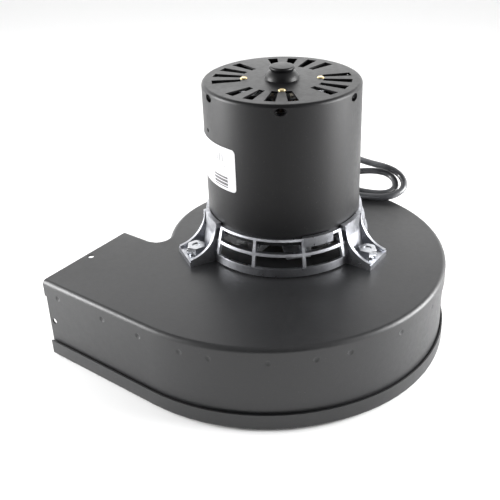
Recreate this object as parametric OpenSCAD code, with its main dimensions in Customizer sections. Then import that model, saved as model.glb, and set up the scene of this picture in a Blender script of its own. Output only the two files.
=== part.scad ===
// Combustion blower: scroll housing, shaded-pole motor, cooling fan and blower wheel.
// Origin: centre of the air inlet, on the motor axis, in the bottom face of the back plate.
// The outlet faces -X and the long straight wall of the scroll faces -Y.

/* [Housing] */
// Height of the housing, bottom of the back plate to top of the cover
housing_h = 46.5; // [44:0.5:50]
// Thickness of the steel sheet
sheet = 0.8; // [0.6:0.1:1]
// Distance from the motor axis to the outlet plane
outlet_reach = 78.4; // [72:0.1:90]
// Distance from the motor axis to the near wall of the outlet
near_wall = 106.8; // [104:0.1:108]
// Distance from the motor axis to the far wall of the outlet
far_wall = 47.2; // [46:0.1:48.5]
// Radius of the first arc of the scroll, after the near wall
scroll_r = 104.7; // [103:0.1:106]
// Height of the flange turned down round the cover
flange_h = 9.2; // [7:0.1:12]
// Height of the rim turned up round the back plate
rim_h = 9.2; // [7:0.1:12]
// Radius of the concave corner between outlet and scroll
cutoff_r = 7; // [6:0.1:8]
// Diameter of the air inlet
inlet_d = 76; // [70:0.5:78]
// Diameter of the circle of mounting holes in the back plate
mount_circle_d = 112; // [108:0.5:116]
// Diameter of a mounting hole in the back plate
mount_hole_d = 5; // [4:0.1:6]
// Diameter of a screw hole at the outlet
outlet_hole_d = 3.2; // [2.5:0.1:4.5]

/* [Motor] */
// Diameter of the motor shell
shell_d = 83.8; // [83:0.1:84.2]
// Height of the top face of the end cap
cap_top = 139; // [136:0.5:144]
// Diameter of the shaft
shaft_d = 7.94; // [7:0.02:8]
// Radial running clearance of the shaft in a bearing
bearing_gap = 0.04; // [0.02:0.01:0.08]
// Height of the stator lamination stack
stack_h = 25.4; // [20:0.1:30]
// Air gap between rotor and stator
air_gap = 0.4; // [0.35:0.05:0.6]
// Diameter of the sleeved lead cable
cable_d = 4.2; // [3.6:0.1:4.4]

/* [Bracket] */
// Distance from the motor axis to a bracket stud
stud_r = 53.1; // [52:0.1:54]
// Diameter of a bracket stud
stud_d = 4.17; // [4:0.01:4.3]
// Distance from the motor axis to the outer edge of an ear
ear_reach = 60; // [59:0.1:61]
// Width of an ear
ear_w = 18.4; // [17:0.1:20]

/* [Fans] */
// Diameter of the blower wheel
wheel_d = 101.6; // [96:0.1:104]
// Number of blades on the blower wheel
wheel_blades_n = 32; // [24:1:36]
// Diameter of the cooling fan
fan_d = 80; // [70:0.5:82]

/* [Hidden] */
$fn = 96;

// Colours of the finishes
paint = "#2f2f31";
aluminium = "#c9ccd2";
zinc = "#b9bcc0";
bronze = "#a97b3f";
copper = "#b4643a";
lamination = "#6e7074";
felt = "#d8d2c0";
nylon = "#e8e4d6";

// Scroll: straight near wall, then four tangent arcs, then a concave corner to the far wall.
// Arc i runs from arc_a[i] to arc_a[i + 1] about arc_c[i].
arc_r = [scroll_r, scroll_r - 18.7, scroll_r - 24.2, scroll_r - 46.7];
arc_c0 = [-6.2, scroll_r - near_wall];
arc_c1 = arc_c0 + (arc_r[0] - arc_r[1]) * dir(-30);
arc_c2 = arc_c1 + (arc_r[1] - arc_r[2]) * dir(30);
arc_c3 = arc_c2 + (arc_r[2] - arc_r[3]) * dir(165);
arc_c = [arc_c0, arc_c1, arc_c2, arc_c3];
cut_y = cutoff_r - far_wall;
cut_x = arc_c3[0] - sqrt(pow(arc_r[3] + cutoff_r, 2) - pow(cut_y - arc_c3[1], 2));
cut_c = [cut_x, cut_y];
cut_a = atan2(arc_c3[1] - cut_y, arc_c3[0] - cut_x);
arc_a = [-90, -30, 30, 165, 180 + cut_a];
arc_n = [16, 15, 30, 12];

// Sheets of the housing, measured outwards from the face of the cover's flange
band_out = -sheet;
band_in = -2 * sheet;
rim_in = -0.1;
rim_out = rim_in + sheet;
flange_z = housing_h - flange_h;
outlet_hole_x = 3.4 - outlet_reach;
outlet_mid_y = -(near_wall + far_wall) / 2;
outlet_hole_z = 22;

// Inlet lip, shaft hole and stud ends
lip_top = 5.5;
shaft_hole_d = 26;
stud_head_h = 1;

// Bracket heights, above the cover
ear_a = [0, 120, 240];
pad_top = housing_h + 2.9;
ring_low = housing_h + 0.8;
ring_top = housing_h + 5.2;
mid_low = housing_h + 11.8;
mid_top = housing_h + 13;
collar_low = housing_h + 19.5;
collar_top = housing_h + 20.6;
ear_top = housing_h + 22;
washer_h = 0.9;
nut_h = 3.3;
// Windows of one third of the basket, as [start angle, end angle]
windows = [[11, 13.4], [15.5, 42.5], [44.5, 75.5], [77.5, 104.5], [106.6, 109]];

// Motor
shell_r = shell_d / 2;
shell_t = 0.8;
collar_r = shell_r + 0.05;
shell_low = housing_h + 16.5;
seam = cap_top - 1.8;
cap_edge_r = 1.8;
stator_z = 86;
rotor_r = 21;
bore_r = rotor_r + air_gap;
yoke_r = 36;
bearing_r = 6.5;
upper_z = 133;
lower_z = housing_h + 12.5;
slot_in = 21.6;
slot_out = 36.5;
first_dot = 33.6;
rivet_r = 20;

pole_a = [0, 90, 180, 270];
bobbin_w = 26;
bobbin_h = 33.4;
lead_a = 95;
lead_z = 80;
grommet_d = 8;
label_z = 89.5;
label_h = 23.5;
shaft_low = 21;
shaft_high = cap_top - 1.5;

// Route of the lead cable: out of the grommet at the back of the shell, down to the cover, and
// twice round a small loop to the plug. The curve is a B-spline over these points.
cable_route = [
    [-3.9, 44.2, 80], [-4.5, 50, 80], [-4.5, 56, 79.5], [-4.5, 62, 76], [-2.5, 67.5, 72],
    [1.5, 72.5, 68], [6.5, 76.5, 65], [13, 81, 62], [20.5, 85.5, 60], [28, 87.5, 57.5],
    [34, 85, 55], [38, 79, 52.5], [37, 73.5, 50.5], [33, 67.5, 49], [26, 63.5, 48.7],
    [19, 61, 48.7], [12, 58.5, 48.7], [5.5, 55.5, 48.7], [-2.5, 52, 48.7], [-9, 52, 48.7],
    [-14.5, 55.5, 48.7], [-16.5, 62, 48.7], [-14.5, 68, 49], [-8.5, 72.5, 51], [-2, 76.5, 53],
    [5, 80, 55], [13.5, 84, 56], [20.5, 87, 55], [26.5, 86, 53.5], [31.5, 81, 51],
    [31.5, 74.5, 49.5], [28, 69.5, 49], [19, 66, 49], [12, 63.5, 50], [9.5, 63.5, 50],
    [7, 63.5, 50]];
cable_sides = 10;
plug_l = 16;
plug_w = 8;
plug_h = 6.8;
plug_end = [7, 63.5, 50];

// Fans
wheel_r = wheel_d / 2;
wheel_low = 7.2;
wheel_top = 39;
fan_r = fan_d / 2;
fan_z = housing_h + 4.5;

function dir(a) = [cos(a), sin(a)];
function arc(c, r, a0, a1, n) = [for (i = [0 : n]) c + r * dir(a0 + (a1 - a0) * i / n)];

// Points of the housing's plan, grown outwards by o and past the outlet by more
function plan(o, more = 0) = concat(
    [[-outlet_reach - more, -near_wall - o]],
    [for (i = [0 : 3]) each arc(arc_c[i], arc_r[i] + o, arc_a[i], arc_a[i + 1], arc_n[i])],
    arc(cut_c, cutoff_r - o, cut_a, -90, 10),
    [[-outlet_reach - more, -far_wall + o]]);

// A wedge of a disc from angle a0 to a1
module sector(r, a0, a1) {
    far = 2 * r;
    intersection() {
        circle(r);
        polygon([[0, 0], far * dir(a0), far * dir((2 * a0 + a1) / 3),
                 far * dir((a0 + 2 * a1) / 3), far * dir(a1)]);
    }
}

// A prism over a wedge of a ring
module ring_sector(r0, r1, a0, a1, z0, z1) {
    translate([0, 0, z0]) linear_extrude(z1 - z0) difference() {
        sector(r1, a0, a1);
        circle(r0);
    }
}

// A plate over the housing's plan
module plate(o, z0, z1, more = 0) {
    translate([0, 0, z0]) linear_extrude(z1 - z0) polygon(plan(o, more));
}

// A wall round the housing's plan between two offsets, open at the outlet
module wall(inner, outer, z0, z1) {
    difference() {
        plate(outer, z0, z1);
        plate(inner, z0 - 1, z1 + 1, 5);
    }
}

module at_ears() {
    for (a = ear_a)
        rotate(a) children();
}

// Drawn steel back plate with upturned rim, inlet lip and mounting holes
module back_plate() color(paint) {
    difference() {
        union() {
            plate(rim_out, 0, sheet);
            wall(rim_in, rim_out, 0, rim_h);
        }
        translate([0, 0, -1]) cylinder(h = 3, r = inlet_d / 2 + sheet / 2);
        for (a = [45 : 90 : 315])
            rotate(a) translate([mount_circle_d / 2, 0, -1]) cylinder(h = 3, d = mount_hole_d);
    }
    difference() {
        cylinder(h = lip_top, r = inlet_d / 2 + sheet);
        translate([0, 0, -1]) cylinder(h = lip_top + 2, r = inlet_d / 2);
    }
}

// Steel strip wrapped round the scroll, open at the outlet
module scroll_band() color(paint) {
    difference() {
        wall(band_in, band_out, sheet, housing_h - sheet);
        translate([outlet_hole_x, 0, outlet_hole_z]) rotate([90, 0, 0])
            cylinder(h = 2 * near_wall + 4, d = outlet_hole_d, center = true);
    }
}

// Steel cover with turned-down flange, shaft hole and stud holes
module cover() color(paint) {
    difference() {
        union() {
            plate(0, housing_h - sheet, housing_h);
            wall(-sheet, 0, flange_z, housing_h);
        }
        translate([0, 0, housing_h - 2]) cylinder(h = 4, d = shaft_hole_d);
        at_ears() translate([stud_r, 0, housing_h - 2]) cylinder(h = 4, d = stud_d + 0.06);
        translate([outlet_hole_x, outlet_mid_y, housing_h - 2]) cylinder(h = 4, d = outlet_hole_d);
    }
}

// Weld studs that hold the bracket to the cover
module bracket_studs() color(zinc) {
    at_ears() translate([stud_r, 0, 0]) {
        translate([0, 0, housing_h - sheet - stud_head_h]) cylinder(h = stud_head_h, r = 3.6);
        translate([0, 0, housing_h - sheet]) cylinder(h = sheet + 6.6, d = stud_d);
    }
}

// Die-cast bracket: basket, collar for the shell, bearing hub on six arms, three ears
module motor_bracket() color(aluminium) {
    difference() {
        union() {
            rotate_extrude() polygon([
                [45.6, ring_low], [47.1, ring_low], [47, ring_top], [45.4, mid_low], [45.2, mid_top],
                [43.5, collar_low], [43.3, collar_top], [collar_r, collar_top], [collar_r, shell_low],
                [40.8, shell_low], [40.8, shell_low - 1], [43.1, mid_top], [43.4, mid_low],
                [45.5, ring_top]]);
            at_ears() {
                translate([45.5, -ear_w / 2, housing_h])
                    cube([ear_reach - 45.5, ear_w, pad_top - housing_h]);
                ring_sector(42.4, 44.8, -12.2, 12.2, mid_low + 0.4, ear_top);
                ear_gussets();
            }
        }
        for (t = ear_a, w = windows) {
            ring_sector(35, 60, t + w[0], t + w[1], ring_top + 0.2, mid_low - 0.2);
            ring_sector(38, 60, t + w[0], t + w[1], mid_top + 0.2, collar_low - 0.2);
        }
        at_ears() translate([stud_r, 0, housing_h - 1]) cylinder(h = 6, d = stud_d + 0.4);
    }
    ring_sector(42.4, 44.5, -43.6, -21.5, mid_top + 3, ear_top - 0.6);
    bearing_spider();
}

// Two thin side walls of an ear with a concave outer edge
module ear_gussets() {
    edge_r = 17.5;
    for (s = [-1, 1])
        translate([0, s * (ear_w / 2 - 0.8) + 0.8, 0]) rotate([90, 0, 0]) linear_extrude(1.6)
            difference() {
                polygon([[45.2, pad_top - 0.5], [ear_reach - 0.4, pad_top - 0.5], [ear_reach - 0.4, ear_top],
                         [42.6, ear_top], [42.4, collar_top], [43.4, mid_top]]);
                translate([ear_reach + 2, ear_top - 0.8]) circle(edge_r);
            }
}

// Hub for the lower bearing on six arms
module bearing_spider() {
    difference() {
        union() {
            translate([0, 0, lower_z - 4]) cylinder(h = 11, r = 11);
            for (t = ear_a, a = [43.5, 76.5])
                rotate(t + a) translate([8, -1.4, shell_low - 3]) cube([34.6, 2.8, 2.6]);
        }
        translate([0, 0, lower_z - 5]) cylinder(h = 20, r = 5.6);
        translate([0, 0, lower_z - 1]) cylinder(h = 20, r = 9);
        translate([0, 0, lower_z]) sphere(bearing_r);
    }
}

// Tooth washers under the bracket nuts
module lock_washers() color(zinc) {
    at_ears() translate([stud_r, 0, pad_top]) difference() {
        union() {
            cylinder(h = washer_h, r = 4.4);
            for (a = [0 : 30 : 330])
                rotate(a) translate([3.8, -0.55, 0]) cube([1.5, 1.1, washer_h]);
        }
        translate([0, 0, -1]) cylinder(h = 4, d = stud_d + 0.06);
    }
}

// Hexagon nuts on the bracket studs
module bracket_nuts() color(zinc) {
    across_flats = 8.7;
    at_ears() translate([stud_r, 0, pad_top + washer_h]) difference() {
        intersection() {
            rotate(8) cylinder(h = nut_h, d = across_flats / cos(30), $fn = 6);
            cylinder(h = nut_h, r1 = across_flats / 2 + nut_h + 0.3, r2 = across_flats / 2 + 0.3);
        }
        translate([0, 0, -1]) cylinder(h = 6, d = stud_d + 0.06);
    }
}

// Drawn steel shell of the motor, with a lead hole at the back
module motor_shell() color(paint) {
    difference() {
        translate([0, 0, shell_low]) cylinder(h = seam - shell_low, r = shell_r);
        translate([0, 0, shell_low - 1]) cylinder(h = 90, r = shell_r - shell_t);
        rotate(lead_a) translate([30, 0, lead_z]) rotate([0, 90, 0]) cylinder(h = 20, d = grommet_d);
    }
}

// Stamped end cap: sixteen radial slots in four groups, drawn hub for the bearing
module end_cap() color(paint) {
    difference() {
        union() {
            rotate_extrude() {
                translate([shell_r - cap_edge_r, seam]) intersection() {
                    circle(cap_edge_r);
                    square(cap_edge_r);
                }
                translate([0, cap_top - 1]) square([shell_r - cap_edge_r, 1]);
                translate([shell_r - cap_edge_r - 0.5, seam]) square([0.5, 1]);
                translate([shell_r - shell_t - 1, seam - 3]) square([1, 3]);
            }
            rotate_extrude() polygon([[0, cap_top - 1], [9.7, cap_top - 1], [9.7, cap_top],
                [9.1, cap_top + 0.3], [8.8, cap_top + 1.4], [8.1, cap_top + 2.7], [7.1, cap_top + 3.8],
                [5.8, cap_top + 4.6], [4.6, cap_top + 5], [0, cap_top + 5]]);
            translate([0, 0, cap_top - 3.4]) cylinder(h = 3, r = 9.7);
        }
        translate([0, 0, cap_top - 2]) cylinder(h = 10, r = 3.4);
        translate([0, 0, cap_top - 5]) cylinder(h = 4, r = shaft_d / 2 + 0.7);
        translate([0, 0, upper_z]) sphere(bearing_r);
        for (g = [0 : 3], k = [-9, 9, 27, 45])
            rotate(first_dot + 90 * g - k) translate([0, 0, cap_top - 2]) linear_extrude(4)
                polygon([[slot_in, -1.7], [slot_out, -2.8], [slot_out, 2.8], [slot_in, 1.7]]);
        for (g = [0 : 3])
            rotate(first_dot + 90 * g) translate([rivet_r, 0, cap_top - 2]) cylinder(h = 4, r = 1.25);
    }
}

// Round button that closes the hub over the end of the shaft
module bearing_cap() color(paint) {
    rotate_extrude() polygon([[0, cap_top + 3.6], [3.3, cap_top + 3.6], [3.3, cap_top + 5],
        [6.2, cap_top + 5], [6.7, cap_top + 5.5], [6.7, cap_top + 6.3], [6.2, cap_top + 6.8],
        [0, cap_top + 7.2]]);
}

// Self-aligning porous bronze bearing, a sphere with flat ends
module bearing(z) {
    translate([0, 0, z]) difference() {
        intersection() {
            sphere(bearing_r);
            cube([20, 20, 9], center = true);
        }
        cylinder(h = 20, r = shaft_d / 2 + bearing_gap, center = true);
    }
}

module upper_bearing() color(bronze) bearing(upper_z);
module lower_bearing() color(bronze) bearing(lower_z);

// Oil-soaked felt ring round a bearing
module felt_ring(z) {
    translate([0, 0, z]) difference() {
        cylinder(h = 3, r = 8.4);
        translate([0, 0, -1]) cylinder(h = 5, r = 6.55);
    }
}

module upper_felt() color(felt) felt_ring(upper_z - 1.5);
module lower_felt() color(felt) felt_ring(lower_z - 0.9);

// Spring-steel disc that holds the upper bearing in the cap
module upper_retainer() color(zinc) {
    z = cap_top - 1;
    difference() {
        union() {
            translate([0, 0, upper_z - 3]) cylinder(h = 0.8, r = 10);
            for (a = [0 : 90 : 270])
                rotate(first_dot + a) {
                    translate([9, -4, upper_z - 3]) cube([13.5, 8, 0.8]);
                    translate([21.7, -4, upper_z - 3]) cube([0.8, 8, z - upper_z + 3]);
                    translate([17.5, -4, z - 0.8]) cube([5, 8, 0.8]);
                }
        }
        translate([0, 0, upper_z - 4]) cylinder(h = 3, r = 6.15);
        for (a = [0 : 90 : 270])
            rotate(first_dot + a) translate([rivet_r, 0, z - 2]) cylinder(h = 4, r = 1.25);
    }
}

// Four brass rivets that fix the retainer under the end cap
module retainer_rivets() color("#d9b45a") {
    for (a = [0 : 90 : 270])
        rotate(first_dot + a) translate([rivet_r, 0, 0]) {
            translate([0, 0, cap_top]) cylinder(h = 0.6, r1 = 2, r2 = 1.4);
            translate([0, 0, cap_top - 2.2]) cylinder(h = 2.2, r = 1.22);
            translate([0, 0, cap_top - 2.6]) cylinder(h = 0.8, r = 1.6);
        }
}

// Push-on ring that holds the lower bearing in the bracket's hub
module lower_retainer() color(zinc) {
    translate([0, 0, lower_z + 3.2]) difference() {
        cylinder(h = 0.8, r = 9);
        translate([0, 0, -1]) cylinder(h = 3, r = 5.9);
    }
}

// Stack of steel laminations with four poles
module stator_core() color(lamination) {
    difference() {
        translate([0, 0, stator_z]) linear_extrude(stack_h) difference() {
            circle(shell_r - shell_t);
            difference() {
                circle(yoke_r);
                circle(bore_r + 5);
                for (a = pole_a)
                    rotate(a) translate([bore_r, -9]) square([20, 18]);
            }
            circle(bore_r);
            for (a = pole_a)
                rotate(a + 45) translate([bore_r - 5, -3]) square([16, 6]);
        }
        for (a = pole_a, s = [-1, 1])
            rotate(a + s * 28) translate([bore_r + 2.2, 0, stator_z - 1])
                cylinder(h = stack_h + 2, r = 1.3);
    }
}

// Closed copper bars that shade one side of each pole face
module shading_rings() color(copper) {
    for (a = pole_a, s = [-1, 1])
        rotate(a + s * 28) translate([bore_r + 2.2, 0, stator_z - 2])
            cylinder(h = stack_h + 4, r = 1.25);
}

// Moulded bobbins round the poles, open in the middle where the pole goes through
module coil_bobbins() color(nylon) {
    for (a = pole_a)
        rotate(a) difference() {
            translate([27, -bobbin_w / 2, stator_z + stack_h / 2 - bobbin_h / 2])
                cube([5.8, bobbin_w, bobbin_h]);
            translate([26, -9.05, stator_z - 0.05]) cube([8, 18.1, stack_h + 0.1]);
            difference() {
                translate([28, -20, stator_z - 20]) cube([3.8, 40, 70]);
                translate([27, -bobbin_w / 2 + 3.2, stator_z + stack_h / 2 - bobbin_h / 2 + 3.2])
                    cube([6, bobbin_w - 6.4, bobbin_h - 6.4]);
            }
        }
}

// Enamelled copper coils wound on the bobbins
module pole_coils() color(copper) {
    for (a = pole_a)
        rotate(a) difference() {
            translate([28, -bobbin_w / 2, stator_z + stack_h / 2 - bobbin_h / 2])
                cube([3.8, bobbin_w, bobbin_h]);
            translate([27, -bobbin_w / 2 + 3.2, stator_z + stack_h / 2 - bobbin_h / 2 + 3.2])
                cube([6, bobbin_w - 6.4, bobbin_h - 6.4]);
        }
}

// Printed rating label wrapped on the shell
module rating_label() color("#e9e9ea") {
    ring_sector(shell_r, shell_r + 0.15, -156, -90.5, label_z, label_z + label_h);
}

// Rubber grommet where the leads leave the shell
module lead_grommet() color("#1c1c1d") {
    rotate(lead_a) translate([shell_r, 0, lead_z]) rotate([0, 90, 0]) difference() {
        union() {
            translate([0, 0, 0.12]) cylinder(h = 2.4, d = grommet_d + 3);
            translate([0, 0, -1.5]) cylinder(h = 3, d = grommet_d);
        }
        translate([0, 0, -3]) cylinder(h = 8, d = cable_d + 0.1);
    }
}

// Point of the cable's curve in the stretch that starts at control point i, at t from 0 to 1
function cable_point(p, i, t) = (
    pow(1 - t, 3) * p[i] + (3 * pow(t, 3) - 6 * t * t + 4) * p[i + 1] +
    (-3 * pow(t, 3) + 3 * t * t + 3 * t + 1) * p[i + 2] + pow(t, 3) * p[i + 3]) / 6;

// Two motor leads in one soft sleeve, a tube along the route
module lead_cable() color("#4a4b4e") {
    n = len(cable_route);
    p = concat([2 * cable_route[0] - cable_route[1]], cable_route,
               [2 * cable_route[n - 1] - cable_route[n - 2]]);
    line = concat([for (i = [0 : n - 2], t = [0, 0.5]) cable_point(p, i, t)], [cable_route[n - 1]]);
    last = len(line) - 1;
    rings = [for (i = [0 : last])
        let (along = line[min(i + 1, last)] - line[max(i - 1, 0)],
             side = cross(along, [0, 0, 1]) / norm(cross(along, [0, 0, 1])),
             up = cross(side, along) / norm(along))
        [for (k = [0 : cable_sides - 1])
            line[i] + cable_d / 2 * (cos(k * 360 / cable_sides) * side +
                                     sin(k * 360 / cable_sides) * up)]];
    polyhedron(
        points = [for (r = rings) each r],
        faces = concat(
            [[for (k = [0 : cable_sides - 1]) k]],
            [for (i = [0 : last - 1], k = [0 : cable_sides - 1])
                let (j = (k + 1) % cable_sides, a = i * cable_sides)
                [a + j, a + k, a + k + cable_sides, a + j + cable_sides]],
            [[for (k = [cable_sides - 1 : -1 : 0]) last * cable_sides + k]]),
        convexity = 8);
}

// Two-way nylon plug at the cable's end, lying on the cover
module plug_housing() color(nylon) {
    translate([plug_end[0] - plug_l, plug_end[1], plug_end[2]]) difference() {
        union() {
            translate([0, -plug_w / 2, -plug_h / 2]) cube([plug_l, plug_w, plug_h]);
            translate([3, -1.6, plug_h / 2 - 0.1]) cube([7, 3.2, 1.1]);
            translate([5, -plug_w / 2 - 0.7, -1.5]) cube([8, plug_w + 1.4, 3]);
        }
        for (s = [-1, 1])
            translate([-1, s * 1.95 - 1.35, -2]) cube([13, 2.7, 4]);
    }
}

// Folded brass contacts in the plug
module plug_contacts() color("#d8b45c") {
    for (s = [-1, 1])
        translate([plug_end[0] - plug_l + 1.5, plug_end[1] + s * 1.95, plug_end[2]])
            difference() {
                translate([0, -1.3, -1.95]) cube([10, 2.6, 3.9]);
                translate([-1, -0.8, -1.45]) cube([9, 1.6, 2.9]);
            }
}

// Shaft with a flat for the wheel's set screw
module shaft() color(zinc) {
    difference() {
        translate([0, 0, shaft_low]) cylinder(h = shaft_high - shaft_low, d = shaft_d);
        translate([shaft_d / 2 - 0.6, -5, shaft_low - 1]) cube([5, 10, 22]);
    }
}

// Rotor laminations, pressed on the shaft
module rotor_core() color(lamination) {
    translate([0, 0, stator_z]) difference() {
        cylinder(h = stack_h, r = rotor_r);
        translate([0, 0, -1]) cylinder(h = stack_h + 2, r = shaft_d / 2);
    }
}

// Cast aluminium end rings of the squirrel cage, with small stirring fins
module rotor_end_rings() color(aluminium) {
    for (s = [0, 1])
        translate([0, 0, stator_z + stack_h / 2]) mirror([0, 0, s]) translate([0, 0, stack_h / 2]) {
            difference() {
                cylinder(h = 4, r = rotor_r - 1);
                translate([0, 0, -1]) cylinder(h = 6, r = 13);
            }
            for (a = [0 : 45 : 315])
                rotate(a) translate([14, -0.9, 3.5]) cube([5, 1.8, 3.5]);
        }
}

// Fibre washers that take up the end float, one against each bearing
module thrust_washers() color("#7d5a3a") {
    for (z = [lower_z + 4.9, upper_z - 5.9])
        translate([0, 0, z]) difference() {
            cylinder(h = 1, r = 5.5);
            translate([0, 0, -1]) cylinder(h = 3, r = shaft_d / 2);
        }
}

// Brass hub of the cooling fan
module fan_hub() color("#c9a24e") {
    translate([0, 0, fan_z]) difference() {
        union() {
            cylinder(h = 1.5, r = 8);
            translate([0, 0, 1.5]) cylinder(h = 1.8, r = 6);
        }
        translate([0, 0, -1]) cylinder(h = 8, r = shaft_d / 2);
    }
}

// Stamped aluminium cooling fan: a disc with eight blades bent up
module cooling_fan() color(aluminium) {
    translate([0, 0, fan_z + 1.5]) {
        difference() {
            union() {
                cylinder(h = 0.8, r = 22);
                for (a = [0 : 45 : 315])
                    rotate(a) translate([15, -6.5, 0]) cube([fan_r - 17, 13, 0.8]);
            }
            translate([0, 0, -1]) cylinder(h = 3, r = 6.02);
        }
        for (a = [0 : 45 : 315])
            rotate(a) translate([22, 5.7, 0.4]) cube([fan_r - 24, 0.8, 6]);
    }
}

// Turned hub of the blower wheel
module wheel_hub() color(zinc) {
    difference() {
        union() {
            translate([0, 0, wheel_top - 16]) cylinder(h = 16, r = 8);
            translate([0, 0, wheel_top]) cylinder(h = 1.8, r = 7);
        }
        cylinder(h = 60, r = shaft_d / 2);
        translate([0, 0, wheel_top - 10]) rotate([0, 90, 0]) cylinder(h = 20, r = 2.2);
    }
}

// Set screw on the flat of the shaft
module hub_set_screw() color("#3a3a3c") {
    translate([shaft_d / 2 - 0.6, 0, wheel_top - 10]) rotate([0, 90, 0]) difference() {
        cylinder(h = 5.5, r = 2.18);
        translate([0, 0, 3]) cylinder(h = 5, r = 1.2, $fn = 6);
    }
}

// Disc of the blower wheel, riveted over on the hub
module wheel_disc() color(aluminium) {
    translate([0, 0, wheel_top]) difference() {
        cylinder(h = 0.9, r = wheel_r);
        translate([0, 0, -1]) cylinder(h = 3, r = 7.02);
    }
}

// Curved blades between the disc and the rim
module wheel_blades() color(aluminium) {
    blade_r = 11;
    for (i = [0 : wheel_blades_n - 1])
        rotate(i * 360 / wheel_blades_n) translate([wheel_r - 6.2, -9, wheel_low + 0.8])
            linear_extrude(wheel_top - wheel_low - 0.8) difference() {
                sector(blade_r, 66, 114);
                circle(blade_r - 0.6);
            }
}

// Ring that joins the blades at the inlet side
module wheel_rim() color(aluminium) {
    translate([0, 0, wheel_low]) difference() {
        cylinder(h = 0.8, r = wheel_r);
        translate([0, 0, -1]) cylinder(h = 3, r = wheel_r - 11.5);
    }
}

back_plate();
scroll_band();
cover();
bracket_studs();
motor_bracket();
lock_washers();
bracket_nuts();
motor_shell();
end_cap();
bearing_cap();
upper_bearing();
upper_felt();
upper_retainer();
retainer_rivets();
lower_bearing();
lower_felt();
lower_retainer();
stator_core();
coil_bobbins();
pole_coils();
shading_rings();
rating_label();
lead_grommet();
lead_cable();
plug_housing();
plug_contacts();
shaft();
rotor_core();
rotor_end_rings();
thrust_washers();
fan_hub();
cooling_fan();
wheel_hub();
hub_set_screw();
wheel_disc();
wheel_blades();
wheel_rim();
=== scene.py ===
import bpy
import math
from mathutils import Matrix, Vector


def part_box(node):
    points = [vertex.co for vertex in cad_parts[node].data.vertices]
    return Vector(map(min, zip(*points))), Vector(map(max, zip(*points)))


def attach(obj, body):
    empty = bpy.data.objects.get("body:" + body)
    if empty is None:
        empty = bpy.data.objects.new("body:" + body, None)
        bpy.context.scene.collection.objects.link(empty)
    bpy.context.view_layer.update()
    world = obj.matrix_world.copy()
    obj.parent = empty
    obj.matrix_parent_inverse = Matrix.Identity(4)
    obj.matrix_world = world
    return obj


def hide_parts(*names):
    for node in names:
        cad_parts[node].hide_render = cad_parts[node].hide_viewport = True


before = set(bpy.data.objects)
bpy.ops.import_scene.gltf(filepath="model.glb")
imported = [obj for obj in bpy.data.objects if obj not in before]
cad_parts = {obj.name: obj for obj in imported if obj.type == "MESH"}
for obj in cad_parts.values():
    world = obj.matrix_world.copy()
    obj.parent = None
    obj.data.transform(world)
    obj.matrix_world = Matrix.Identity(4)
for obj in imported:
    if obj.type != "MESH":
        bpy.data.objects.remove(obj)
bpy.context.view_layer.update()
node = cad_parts

# Camera, above and in front of the blower's near right side, with a long lens. The blower stands a
# little left of and below the middle of the lens, hence the shift.
camera_turn = math.radians(32.88)
camera_down = math.radians(24.22)
camera_roll = math.radians(-0.41)
bpy.ops.object.camera_add(location=(0.2001, -0.2930, 0.2517))
camera = bpy.context.object
camera.rotation_euler = (Matrix.Rotation(camera_turn, 3, "Z")
                         @ Matrix.Rotation(math.pi / 2 - camera_down, 3, "X")
                         @ Matrix.Rotation(camera_roll, 3, "Z")).to_euler()
camera.data.lens = 51.17
camera.data.sensor_width = 36
camera.data.shift_x = -0.10
camera.data.shift_y = -0.18
camera.data.clip_start = 0.01
bpy.context.scene.camera = camera
bpy.context.scene.view_settings.view_transform = "Standard"

# Lead cable: two motor leads in one glossy vinyl sleeve. It leaves the grommet at the back of the
# shell, comes down to the cover, goes twice round a small loop and ends in the plug.
cable_route = [
    (-3.9, 44.2, 80), (-4.5, 50, 80), (-4.5, 56, 79.5), (-4.5, 62, 76), (-2.5, 67.5, 72),
    (1.5, 72.5, 68), (6.5, 76.5, 65), (13, 81, 62), (20.5, 85.5, 60), (28, 87.5, 57.5),
    (34, 85, 55), (38, 79, 52.5), (37, 73.5, 50.5), (33, 67.5, 49), (26, 63.5, 48.7),
    (19, 61, 48.7), (12, 58.5, 48.7), (5.5, 55.5, 48.7), (-2.5, 52, 48.7), (-9, 52, 48.7),
    (-14.5, 55.5, 48.7), (-16.5, 62, 48.7), (-14.5, 68, 49), (-8.5, 72.5, 51), (-2, 76.5, 53),
    (5, 80, 55), (13.5, 84, 56), (20.5, 87, 55), (26.5, 86, 53.5), (31.5, 81, 51),
    (31.5, 74.5, 49.5), (28, 69.5, 49), (19, 66, 49), (12, 63.5, 50), (9.5, 63.5, 50),
    (7, 63.5, 50)]
cable_width = 0.0042
route = [Vector(p) / 1000 for p in cable_route]
route = [2 * route[0] - route[1], *route, 2 * route[-1] - route[-2]]
curve = bpy.data.curves.new("lead_cable_sleeve", "CURVE")
curve.dimensions = "3D"
line = curve.splines.new("NURBS")
line.points.add(len(route) - 1)
for point, place in zip(line.points, route):
    point.co = (*place, 1)
line.order_u = 4
line.resolution_u = 10
curve.bevel_depth = cable_width / 2
curve.bevel_resolution = 5
curve.use_fill_caps = True
cable = bpy.data.objects.new("lead_cable_sleeve", curve)
bpy.context.collection.objects.link(cable)


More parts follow.
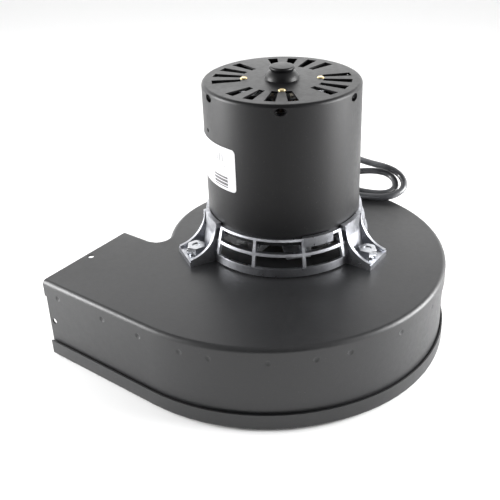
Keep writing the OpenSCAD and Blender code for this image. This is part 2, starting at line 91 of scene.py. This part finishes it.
class Wire:
    """One output of a node in a finish. Arithmetic on it adds Math nodes."""

    def __init__(self, finish, socket):
        self.finish, self.socket = finish, socket

    def maths(self, kind, first, second=0.0):
        return self.finish.add("ShaderNodeMath", {"operation": kind}, {0: first, 1: second})

    def __add__(self, other):
        return self.maths("ADD", self, other)

    def __mul__(self, other):
        return self.maths("MULTIPLY", self, other)

    def __sub__(self, other):
        return self.maths("SUBTRACT", self, other)

    def __rsub__(self, other):
        return self.maths("SUBTRACT", other, self)

    def __gt__(self, other):
        return self.maths("GREATER_THAN", self, other)

    def __lt__(self, other):
        return self.maths("LESS_THAN", self, other)

    def __abs__(self):
        return self.maths("ABSOLUTE", self)

    __radd__ = __add__
    __rmul__ = __mul__

    def larger(self, other):
        return self.maths("MAXIMUM", self, other)

    def within(self, low, high):
        """1 where the value lies from low to high, and 0 elsewhere."""
        return (self > low) * (self < high)

    def wave(self, length):
        """A sine of this value with that wave length, from -1 to 1."""
        return self.maths("SINE", self * (2 * math.pi / length))


class Finish:
    """A finish on this blower: one material, with its shader's constant values."""

    def __init__(self, name, colour, roughness, **constants):
        self.slot = name
        self.material = bpy.data.materials.new(name)
        self.material.use_nodes = True
        self.tree = self.material.node_tree
        self.shader = self.tree.nodes["Principled BSDF"]
        self.shader.inputs["Base Color"].default_value = (*colour, 1)
        self.shader.inputs["Roughness"].default_value = roughness
        for socket, value in constants.items():
            self.shader.inputs[socket].default_value = value
        self.place = self.add("ShaderNodeTexCoord", {}, {}, "Object")

    def add(self, kind, settings, sockets, output=0):
        """A node of that kind, with its settings, then its sockets' values or wires."""
        made = self.tree.nodes.new(kind)
        for key, value in settings.items():
            setattr(made, key, value)
        for key, value in sockets.items():
            if isinstance(value, Wire):
                self.tree.links.new(value.socket, made.inputs[key])
            else:
                made.inputs[key].default_value = value
        return Wire(self, made.outputs[output])

    def along(self, axis):
        """The place along axis 0, 1 or 2, in metres."""
        return self.add("ShaderNodeSeparateXYZ", {}, {0: self.place}, axis)

    def noise(self, scale, detail=3, stretch=(1, 1, 1)):
        """Cloudy values round 0.5, in cells of 1 / scale metres."""
        at = self.add("ShaderNodeMapping", {}, {"Vector": self.place, "Scale": stretch})
        return self.add("ShaderNodeTexNoise", {}, {"Vector": at, "Scale": scale, "Detail": detail})

    def grains(self, scale):
        """Distance from the middles of scattered grains, in cells of 1 / scale metres."""
        return self.add("ShaderNodeTexVoronoi", {}, {"Vector": self.place, "Scale": scale})

    def between(self, value, low, high, out_low=0.0, out_high=1.0):
        """value from low..high brought to out_low..out_high, and held there."""
        return self.add("ShaderNodeMapRange", {},
                        {"Value": value, "From Min": low, "From Max": high,
                         "To Min": out_low, "To Max": out_high})

    def blend(self, mask, first, second):
        """The colour first where mask is 0 and second where it is 1."""
        colours = {6: (*first, 1) if isinstance(first, tuple) else first,
                   7: (*second, 1) if isinstance(second, tuple) else second}
        return self.add("ShaderNodeMix", {"data_type": "RGBA"}, {0: mask, **colours}, 2)

    def bump(self, height, depth):
        """Relief of that depth, in metres, on the whole finish."""
        self.feed("Normal", self.add("ShaderNodeBump", {}, {"Height": height, "Distance": depth}))

    def feed(self, socket, wire):
        self.tree.links.new(wire.socket, self.shader.inputs[socket])

    def coat(self, *names):
        """Gives this finish to CAD nodes."""
        for name in names:
            for slot in node[name].material_slots:
                slot.material = self.material


sleeve = Finish("cable_sleeve", (0.05, 0.051, 0.055), 0.3, **{"Coat Weight": 0.25})
handling = sleeve.noise(90, 4)
sleeve.feed("Base Color", sleeve.blend(sleeve.between(handling, 0.35, 0.7),
                                       (0.035, 0.036, 0.039), (0.075, 0.077, 0.082)))
sleeve.feed("Roughness", sleeve.between(handling, 0.3, 0.7, 0.22, 0.42))
sleeve.bump(sleeve.noise(700, 2), 0.00004)
cable.data.materials.append(sleeve.material)
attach(cable, "blower")
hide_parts("lead_cable")

# Plug on the lead's end: a two-way natural nylon housing, moulded in one piece with a latch on top
# and a rib on each side. Two folded brass contacts are pushed into it.


def work_on(piece):
    """Makes one piece the only selected and active object."""
    bpy.ops.object.select_all(action="DESELECT")
    bpy.context.view_layer.objects.active = piece
    piece.select_set(True)


def worked_copy(name, source):
    """A copy of a CAD solid's mesh, with its triangles merged back to whole faces."""
    piece = bpy.data.objects.new(name, node[source].data.copy())
    bpy.context.collection.objects.link(piece)
    piece.data.materials.clear()
    work_on(piece)
    bpy.context.tool_settings.mesh_select_mode = (False, True, False)
    bpy.ops.object.mode_set(mode="EDIT")
    bpy.ops.mesh.customdata_custom_splitnormals_clear()
    bpy.ops.mesh.select_all(action="SELECT")
    bpy.ops.mesh.remove_doubles(threshold=0.000004)
    bpy.ops.mesh.dissolve_limited(angle_limit=math.radians(1))
    bpy.ops.mesh.select_all(action="DESELECT")
    bpy.ops.object.mode_set(mode="OBJECT")
    return piece


def apply_modifier(piece, kind, **settings):
    """Adds one modifier with its settings and applies it."""
    work_on(piece)
    bpy.ops.object.modifier_add(type=kind)
    added = piece.modifiers[-1]
    for key, value in settings.items():
        setattr(added, key, value)
    bpy.ops.object.modifier_apply(modifier=added.name)


def ease_edges(piece, width, segments=2, angle=40):
    """Breaks the sharp edges of a piece to a small radius."""
    apply_modifier(piece, "BEVEL", width=width, segments=segments, limit_method="ANGLE",
                   angle_limit=math.radians(angle), use_clamp_overlap=True)


def hand_over(piece, finish, body, source, smooth=35):
    """Smooths a finished piece and puts it in its CAD solid's place."""
    work_on(piece)
    bpy.ops.object.shade_smooth_by_angle(angle=math.radians(smooth))
    apply_modifier(piece, "WEIGHTED_NORMAL", keep_sharp=True, weight=60)
    piece.data.materials.clear()
    piece.data.materials.append(finish.material)
    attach(piece, body)
    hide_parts(source)


nylon = Finish("nylon", (0.74, 0.72, 0.64), 0.45, **{"Subsurface Weight": 0.05})
nylon.feed("Base Color", nylon.blend(nylon.noise(120, 3), (0.7, 0.67, 0.57), (0.78, 0.76, 0.69)))
nylon.feed("Roughness", nylon.between(nylon.noise(500, 3), 0.3, 0.7, 0.38, 0.55))
nylon.bump(nylon.noise(1500, 2), 0.00001)
plug = worked_copy("lead_plug_housing", "plug_housing")
ease_edges(plug, 0.0003, 3)
hand_over(plug, nylon, "blower", "plug_housing")
brass = Finish("brass", (0.82, 0.66, 0.34), 0.3, Metallic=1.0)
tarnish = brass.noise(260, 4)
brass.feed("Base Color", brass.blend(brass.between(tarnish, 0.4, 0.7),
                                     (0.87, 0.73, 0.42), (0.68, 0.5, 0.24)))
brass.feed("Roughness", brass.between(tarnish, 0.3, 0.7, 0.2, 0.42))
brass.bump(brass.noise(2500, 2), 0.000006)
brass.coat("plug_contacts", "fan_hub")

# Grommet: a soft black rubber ring with a round lip, pushed into the lead hole of the shell.
rubber = Finish("black_rubber", (0.02, 0.02, 0.021), 0.7)
bloom = rubber.noise(350, 5)
rubber.feed("Base Color", rubber.blend(rubber.between(bloom, 0.45, 0.75),
                                       (0.016, 0.016, 0.017), (0.04, 0.04, 0.04)))
rubber.feed("Roughness", rubber.between(bloom, 0.3, 0.7, 0.6, 0.82))
rubber.bump(rubber.noise(1800, 3), 0.00003)
grommet = worked_copy("lead_grommet_ring", "lead_grommet")
ease_edges(grommet, 0.0006, 4)
hand_over(grommet, rubber, "blower", "lead_grommet")

# Back plate: a shallow pan drawn from 0.8 mm steel sheet, with a folded-up rim round the scroll and
# a lip round the air inlet. The whole housing has one coat of satin black paint.


def satin_black(dark, light, roughness, **constants):
    """Satin black paint on steel, with faint clouds, fine specks of dust and orange peel."""
    made = Finish("black_paint", dark, roughness, **constants)
    clouds = made.noise(18, 5)
    specks = made.between(made.noise(2600, 1), 0.73, 0.78)
    made.feed("Base Color", made.blend(specks * 0.35, made.blend(clouds, dark, light),
                                       (0.14, 0.14, 0.14)))
    made.feed("Roughness", made.between(clouds, 0.3, 0.7, roughness - 0.04, roughness + 0.04)
              + made.between(made.noise(420, 3), 0.3, 0.7, -0.03, 0.03))
    made.bump(made.noise(1100, 2) + made.noise(160, 2) * 1.5, 0.00002)
    return made


paint = satin_black((0.010, 0.0102, 0.011), (0.016, 0.0162, 0.0172), 0.4)


def sides_of(mesh, height):
    """The edges of the faces that stand up by more than height, as pairs of vertices."""
    pairs = set()
    for face in mesh.polygons:
        levels = [mesh.vertices[i].co.z for i in face.vertices]
        if max(levels) - min(levels) > height:
            pairs.update(face.edge_keys)
    return pairs


def fold_edge(piece, level, radius, segments, height=0.005):
    """Rounds the fold where the standing walls of a sheet meet the flat at that level."""
    mesh = piece.data
    walls = sides_of(mesh, height)
    mouth = min(v.co.x for v in mesh.vertices) + 0.00005
    for item in (*mesh.vertices, *mesh.polygons):
        item.select = False
    for edge in mesh.edges:
        ends = [mesh.vertices[i].co for i in edge.vertices]
        edge.select = (edge.key in walls and all(abs(p.z - level) < 0.00001 for p in ends)
                       and any(p.x > mouth for p in ends))
    work_on(piece)
    bpy.ops.object.mode_set(mode="EDIT")
    bpy.ops.mesh.bevel(offset_type="OFFSET", offset=radius, segments=segments, affect="EDGES",
                       clamp_overlap=False)
    bpy.ops.object.mode_set(mode="OBJECT")


pan = worked_copy("back_plate_pan", "back_plate")
fold_edge(pan, 0.0, 0.0018, 5)
hand_over(pan, paint, "blower", "back_plate")

# Scroll band: one strip of the same sheet, bent round the scroll and crimped between the back plate
# and the cover. Its two ends make the side walls of the outlet.
band = worked_copy("scroll_wall", "scroll_band")
hand_over(band, paint, "blower", "scroll_band")

# Cover: drawn steel sheet with its edge turned down over the band. Round punch marks along the
# turned-down flange hold it to the band.
cover = worked_copy("cover_sheet", "cover")
cover_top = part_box("cover")[1][2]
fold_edge(cover, cover_top, 0.0024, 6)
ease_edges(cover, 0.0003, 2, 60)
mark_r = 0.004
mark_out = 0.00358
mark_down = 0.0073
straight_wall = -0.1068
flange_marks = [(x, straight_wall, -90) for x in (-0.068, -0.036, -0.012)]
# The centre and radius of each arc of the flange, and the directions of its marks.
for centre, radius, angles in (((-0.0062, -0.0021), 0.1047, (-80, -72, -57, -45, -36)),
                               ((0.0100, -0.01145), 0.0860, (-18, 0, 18)),
                               ((0.0053, -0.0142), 0.0805, (40, 62, 84, 106, 128, 150))):
    for angle in angles:
        turn = math.radians(angle)
        flange_marks.append((centre[0] + radius * math.cos(turn),
                             centre[1] + radius * math.sin(turn), angle))


def punch(piece, cutters):
    """Cuts a set of made shapes out of a piece, and takes them away."""
    bpy.ops.object.select_all(action="DESELECT")
    for cutter in cutters:
        cutter.select_set(True)
    bpy.context.view_layer.objects.active = cutters[0]
    if len(cutters) > 1:
        bpy.ops.object.join()
    tool = bpy.context.view_layer.objects.active
    bpy.ops.object.transform_apply()
    apply_modifier(piece, "BOOLEAN", object=tool, operation="DIFFERENCE", solver="EXACT")
    bpy.data.objects.remove(tool)


punches = []
for x, y, angle in flange_marks:
    turn = math.radians(angle)
    bpy.ops.object.select_all(action="DESELECT")
    bpy.ops.mesh.primitive_uv_sphere_add(
        segments=32, ring_count=16, radius=mark_r,
        location=(x + mark_out * math.cos(turn), y + mark_out * math.sin(turn),
                  cover_top - mark_down))
    punches.append(bpy.context.object)
punch(cover, punches)
hand_over(cover, paint, "blower", "cover", smooth=42)

# Motor bracket: one aluminium die casting, a round basket with three ears, lightly tumbled so that
# its edges shine. Each ear sits on a weld stud of the cover under a tooth washer and a nut.
cast = Finish("cast_aluminium", (0.62, 0.63, 0.66), 0.3, Metallic=1.0)
skin = cast.noise(260, 5)
cast.feed("Base Color", cast.blend(cast.between(skin, 0.35, 0.7),
                                   (0.47, 0.48, 0.51), (0.31, 0.315, 0.335)))
cast.feed("Roughness", cast.between(skin, 0.3, 0.7, 0.26, 0.42))
cast.bump(cast.noise(900, 3) + cast.noise(220, 2) * 0.8, 0.00003)
cast.coat("rotor_end_rings")
bracket = worked_copy("bracket_casting", "motor_bracket")
ease_edges(bracket, 0.00032, 2, 30)
hand_over(bracket, cast, "blower", "motor_bracket", smooth=50)

zinc = Finish("zinc_steel", (0.66, 0.67, 0.69), 0.35, Metallic=1.0)
spangle = zinc.grains(700)
zinc.feed("Base Color", zinc.blend(spangle, (0.52, 0.53, 0.56), (0.4, 0.41, 0.42)))
zinc.feed("Roughness", zinc.between(zinc.noise(800, 3), 0.3, 0.7, 0.24, 0.42))
zinc.bump(zinc.noise(1600, 3), 0.00001)
zinc.coat("bracket_studs", "lock_washers", "upper_retainer", "lower_retainer", "wheel_hub")
nuts = worked_copy("stud_nuts", "bracket_nuts")
ease_edges(nuts, 0.0002, 2, 25)
hand_over(nuts, zinc, "blower", "bracket_nuts")

# Motor shell: a drawn steel can pressed into the bracket's collar, in the housing's satin black made
# darker and less glossy.
# The darker colour is painted shade: it stands in for the floor light the can reflects less than the
# housing walls.
# Six notches near its top edge hold the end cap, and there is a small hole over the label.
shaded_motor_paint = satin_black((0.005, 0.005, 0.0055), (0.008, 0.008, 0.0086), 0.4,
                          **{"Specular IOR Level": 0.25})
shell = worked_copy("motor_can", "motor_shell")
shell_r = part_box("motor_shell")[1][0]
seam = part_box("motor_shell")[1][2]
notch_down = 0.0018
hole_height = 0.1174


def notch_tools():
    """Six oval shapes across the seam, to cut the shell's notches and the cap's skirt behind them."""
    made = []
    for step in range(6):
        turn = math.radians(-57 + 60 * step)
        bpy.ops.object.select_all(action="DESELECT")
        bpy.ops.mesh.primitive_uv_sphere_add(
            segments=28, ring_count=16, radius=0.001, rotation=(0, 0, turn), scale=(2.4, 3.1, 2.0),
            location=(shell_r * math.cos(turn), shell_r * math.sin(turn), seam - notch_down))
        made.append(bpy.context.object)
    return made


tools = notch_tools()
hole_turn = math.radians(-121.6)
bpy.ops.object.select_all(action="DESELECT")
bpy.ops.mesh.primitive_cylinder_add(
    vertices=24, radius=0.0011, depth=0.006, rotation=(0, math.pi / 2, hole_turn),
    location=(shell_r * math.cos(hole_turn), shell_r * math.sin(hole_turn), hole_height))
tools.append(bpy.context.object)
punch(shell, tools)
ease_edges(shell, 0.00018, 2, 50)
hand_over(shell, shaded_motor_paint, "blower", "motor_shell")

# End cap: a stamped steel disc with sixteen cooling slots and a drawn hub, closed by a round button.
# Four brass rivets hold the upper bearing's retainer under it.
cap = worked_copy("end_cap_stamping", "end_cap")
punch(cap, notch_tools())
ease_edges(cap, 0.00018, 2, 50)
# The cap and its hub button take the same darker paint as the shell, which is painted shade.
hand_over(cap, shaded_motor_paint, "blower", "end_cap")
button = worked_copy("hub_button", "bearing_cap")
ease_edges(button, 0.0005, 4, 20)
hand_over(button, shaded_motor_paint, "blower", "bearing_cap", smooth=60)
rivets = worked_copy("cap_rivets", "retainer_rivets")
ease_edges(rivets, 0.0003, 3, 30)
hand_over(rivets, brass, "blower", "retainer_rivets", smooth=60)

# Bearings: two self-aligning balls of oiled porous bronze, each in a ring of oil-soaked wool felt,
# with a fibre washer against its inner end.
bronze = Finish("bronze", (0.45, 0.27, 0.12), 0.45, Metallic=0.9)
pores = bronze.grains(2400)
bronze.feed("Base Color", bronze.blend(bronze.between(pores, 0.1, 0.5),
                                       (0.2, 0.11, 0.05), (0.52, 0.32, 0.15)))
bronze.feed("Roughness", bronze.between(bronze.noise(600, 3), 0.3, 0.7, 0.35, 0.55))
bronze.bump(pores, 0.00004)
bronze.coat("upper_bearing", "lower_bearing")
felt = Finish("felt", (0.55, 0.5, 0.4), 0.95, **{"Sheen Weight": 0.4})
hair = felt.noise(1400, 6, (1, 1, 3))
felt.feed("Base Color", felt.blend(hair, (0.42, 0.37, 0.28), (0.66, 0.61, 0.51)))
felt.bump(hair, 0.0004)
felt.coat("upper_felt", "lower_felt")
fibre = Finish("fibre", (0.16, 0.09, 0.045), 0.7)
strand = fibre.noise(900, 5, (1, 4, 1))
fibre.feed("Base Color", fibre.blend(strand, (0.11, 0.06, 0.03), (0.24, 0.14, 0.07)))
fibre.bump(strand, 0.00008)
fibre.coat("thrust_washers", "coil_bobbins")

# Stator and rotor iron: stacks of 0.5 mm electrical steel laminations, varnished. The stator is
# pressed into the shell and the rotor on the shaft.
iron = Finish("lamination", (0.2, 0.2, 0.21), 0.45, Metallic=0.8)
leaf = iron.along(2).wave(0.0005)
iron.feed("Base Color", iron.blend(iron.between(leaf, -1, 0.2),
                                   (0.06, 0.06, 0.065), (0.26, 0.26, 0.27)))
iron.feed("Roughness", iron.between(iron.noise(300, 3), 0.3, 0.7, 0.35, 0.6))
iron.bump(leaf, 0.00005)
iron.coat("stator_core", "rotor_core")

# Coils: enamelled copper wire wound in layers on four bobbins of pressed fibre. A closed copper bar
# shades each side of a pole face.
copper = Finish("copper_wire", (0.62, 0.26, 0.12), 0.3, Metallic=1.0, **{"Coat Weight": 0.3})
outward = abs(copper.along(0)).larger(abs(copper.along(1)))
strands = outward.wave(0.00042)
copper.feed("Base Color", copper.blend(copper.between(strands, -1, 0.4),
                                       (0.2, 0.07, 0.03), (0.68, 0.3, 0.14)))
copper.feed("Roughness", copper.between(copper.noise(900, 3), 0.3, 0.7, 0.22, 0.4))
copper.bump(strands, 0.00012)
coils = worked_copy("wound_coils", "pole_coils")
ease_edges(coils, 0.0011, 4)
hand_over(coils, copper, "blower", "pole_coils")
copper.coat("shading_rings")

# Rating label: white film, printed and stuck on the shell, with round corners. Its print is plain
# bars and rules only.
label_low, label_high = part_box("rating_label")
film_t = 0.00012
label_r = shell_r + 0.00013
columns = 48
first_turn, last_turn = math.radians(-156), math.radians(-90.5)
long = (last_turn - first_turn) * label_r
tall = label_high[2] - label_low[2]
bpy.ops.object.select_all(action="DESELECT")
bpy.ops.mesh.primitive_plane_add(size=1)
label = bpy.context.object
label.name = "label_sticker"
label.scale = (long, tall, 1)
bpy.ops.object.transform_apply()
bpy.context.tool_settings.mesh_select_mode = (True, False, False)
bpy.ops.object.mode_set(mode="EDIT")
bpy.ops.mesh.select_all(action="SELECT")
bpy.ops.mesh.bevel(offset=0.0022, segments=6, affect="VERTICES")
for step in range(1, columns):
    bpy.ops.mesh.select_all(action="SELECT")
    bpy.ops.mesh.bisect(plane_co=(long * (step / columns - 0.5), 0, 0), plane_no=(1, 0, 0))
bpy.ops.object.mode_set(mode="OBJECT")
for point in label.data.vertices:
    turn = (first_turn + last_turn) / 2 + point.co.x / label_r
    point.co = (label_r * math.cos(turn), label_r * math.sin(turn),
                (label_low[2] + label_high[2]) / 2 + point.co.y)
apply_modifier(label, "SOLIDIFY", thickness=film_t, offset=0)
film = Finish("label_film", (0.8, 0.8, 0.81), 0.4, **{"Coat Weight": 0.2})
across = film.along(1).maths("ARCTAN2", film.along(1), film.along(0)) * -label_r + last_turn * label_r
up = film.along(2) - label_low[2]
bars = across.within(0.0075, 0.027) * up.within(0.0155, 0.0195) * (across.wave(0.0021) > -0.1)
rules = (across.within(0.005, 0.034) * up.within(0.0085, 0.0135) * (up.wave(0.0016) > 0.5)
         * (film.noise(900, 1, (1, 1, 0.02)) > 0.47))
block = across.within(0.0055, 0.0165) * up.within(0.0015, 0.0075) * (1 - (up.wave(0.0019) > 0.72))
ink = bars * 0.6 + rules * 0.55 + block * 0.95
film.feed("Base Color", film.blend(ink, (0.46, 0.46, 0.47), (0.02, 0.02, 0.022)))
film.feed("Roughness", film.between(film.noise(300, 3), 0.3, 0.7, 0.32, 0.48))
film.bump(film.noise(500, 2), 0.00001)
hand_over(label, film, "blower", "rating_label")

# Shaft: ground steel with a flat for the set screw at its lower end. It carries the rotor, the
# cooling fan and the blower wheel.
ground = Finish("ground_steel", (0.56, 0.56, 0.58), 0.22, Metallic=1.0)
rings = ground.noise(7000, 3, (0.03, 0.03, 1))
ground.feed("Base Color", ground.blend(rings, (0.5, 0.5, 0.52), (0.64, 0.64, 0.66)))
ground.feed("Roughness", ground.between(rings, 0.3, 0.7, 0.14, 0.32))
ground.bump(rings, 0.000004)
ground.coat("shaft")

# Cooling fan: an aluminium stamping on a brass hub, with eight blades bent up. It turns inside the
# bracket's basket and draws air through the motor.
sheet = Finish("sheet_aluminium", (0.74, 0.75, 0.77), 0.34, Metallic=1.0)
grain = sheet.noise(2600, 4, (0.04, 1, 1))
stain = sheet.noise(60, 4)
sheet.feed("Base Color", sheet.blend(stain, (0.66, 0.67, 0.69), (0.8, 0.81, 0.83)))
sheet.feed("Roughness", sheet.between(grain, 0.3, 0.7, 0.26, 0.42))
sheet.bump(grain, 0.000012)
fan = worked_copy("cooling_fan_stamping", "cooling_fan")
ease_edges(fan, 0.0002, 2)
hand_over(fan, sheet, "rotor", "cooling_fan")

# Blower wheel: thirty-two curved aluminium blades crimped between a disc and a ring. The disc is
# riveted over on a turned hub, and a set screw holds the hub on the shaft.
sheet.coat("wheel_disc", "wheel_rim")
blades = worked_copy("wheel_vanes", "wheel_blades")
hand_over(blades, sheet, "rotor", "wheel_blades")
oxide = Finish("dark_steel", (0.05, 0.05, 0.055), 0.4, Metallic=0.9)
oxide.feed("Base Color", oxide.blend(oxide.noise(900, 3), (0.03, 0.03, 0.034), (0.08, 0.08, 0.086)))
oxide.feed("Roughness", oxide.between(oxide.noise(700, 3), 0.3, 0.7, 0.3, 0.5))
oxide.coat("hub_set_screw")

# Studio: a white sweep under the blower, in a white room that is dim behind the camera and overhead,
# with a soft box low down on each side.
bpy.ops.object.select_all(action="DESELECT")
bpy.ops.mesh.primitive_plane_add(size=6, location=(0, 0, -0.0005))
floor = bpy.context.object
floor.name = "studio_floor"
pale = Finish("studio_floor", (0.9, 0.9, 0.9), 0.6)
floor.data.materials.append(pale.material)
world = bpy.data.worlds.new("studio")
bpy.context.scene.world = world
world.use_nodes = True
room = world.node_tree
heading = room.nodes.new("ShaderNodeTexCoord")
toward = room.nodes.new("ShaderNodeVectorMath")
toward.operation = "DOT_PRODUCT"
toward.inputs[1].default_value = (math.sin(camera_turn), -math.cos(camera_turn), 0)
level = room.nodes.new("ShaderNodeMapRange")
for socket, value in {"From Min": 0.1, "From Max": 0.8, "To Min": 2.6, "To Max": 0.05}.items():
    level.inputs[socket].default_value = value
height = room.nodes.new("ShaderNodeSeparateXYZ")
ceiling = room.nodes.new("ShaderNodeMapRange")
for socket, value in {"From Min": 0.45, "From Max": 0.75, "To Min": 1, "To Max": 0.12}.items():
    ceiling.inputs[socket].default_value = value
both = room.nodes.new("ShaderNodeMath")
both.operation = "MULTIPLY"
room.links.new(heading.outputs["Generated"], toward.inputs[0])
room.links.new(heading.outputs["Generated"], height.inputs[0])
room.links.new(toward.outputs["Value"], level.inputs["Value"])
room.links.new(height.outputs["Z"], ceiling.inputs["Value"])
room.links.new(level.outputs[0], both.inputs[0])
room.links.new(ceiling.outputs[0], both.inputs[1])
room.links.new(both.outputs[0], room.nodes["Background"].inputs["Strength"])
room.nodes["Background"].inputs["Color"].default_value = (1, 1, 1, 1)


def soft_light(name, place, aim, size, power):
    """A square soft box at place that shines at aim."""
    bpy.ops.object.light_add(type="AREA", location=place)
    lamp = bpy.context.object
    lamp.name = name
    lamp.data.size = size
    lamp.data.energy = power
    lamp.visible_camera = False
    lamp.rotation_euler = (Vector(aim) - Vector(place)).to_track_quat("-Z", "Y").to_euler()


soft_light("light_left", (-0.50, -0.37, 0.17), (-0.08, -0.08, 0), 0.35, 8)
soft_light("light_right", (0.47, 0.24, 0.17), (0.08, 0, 0), 0.35, 7.5)
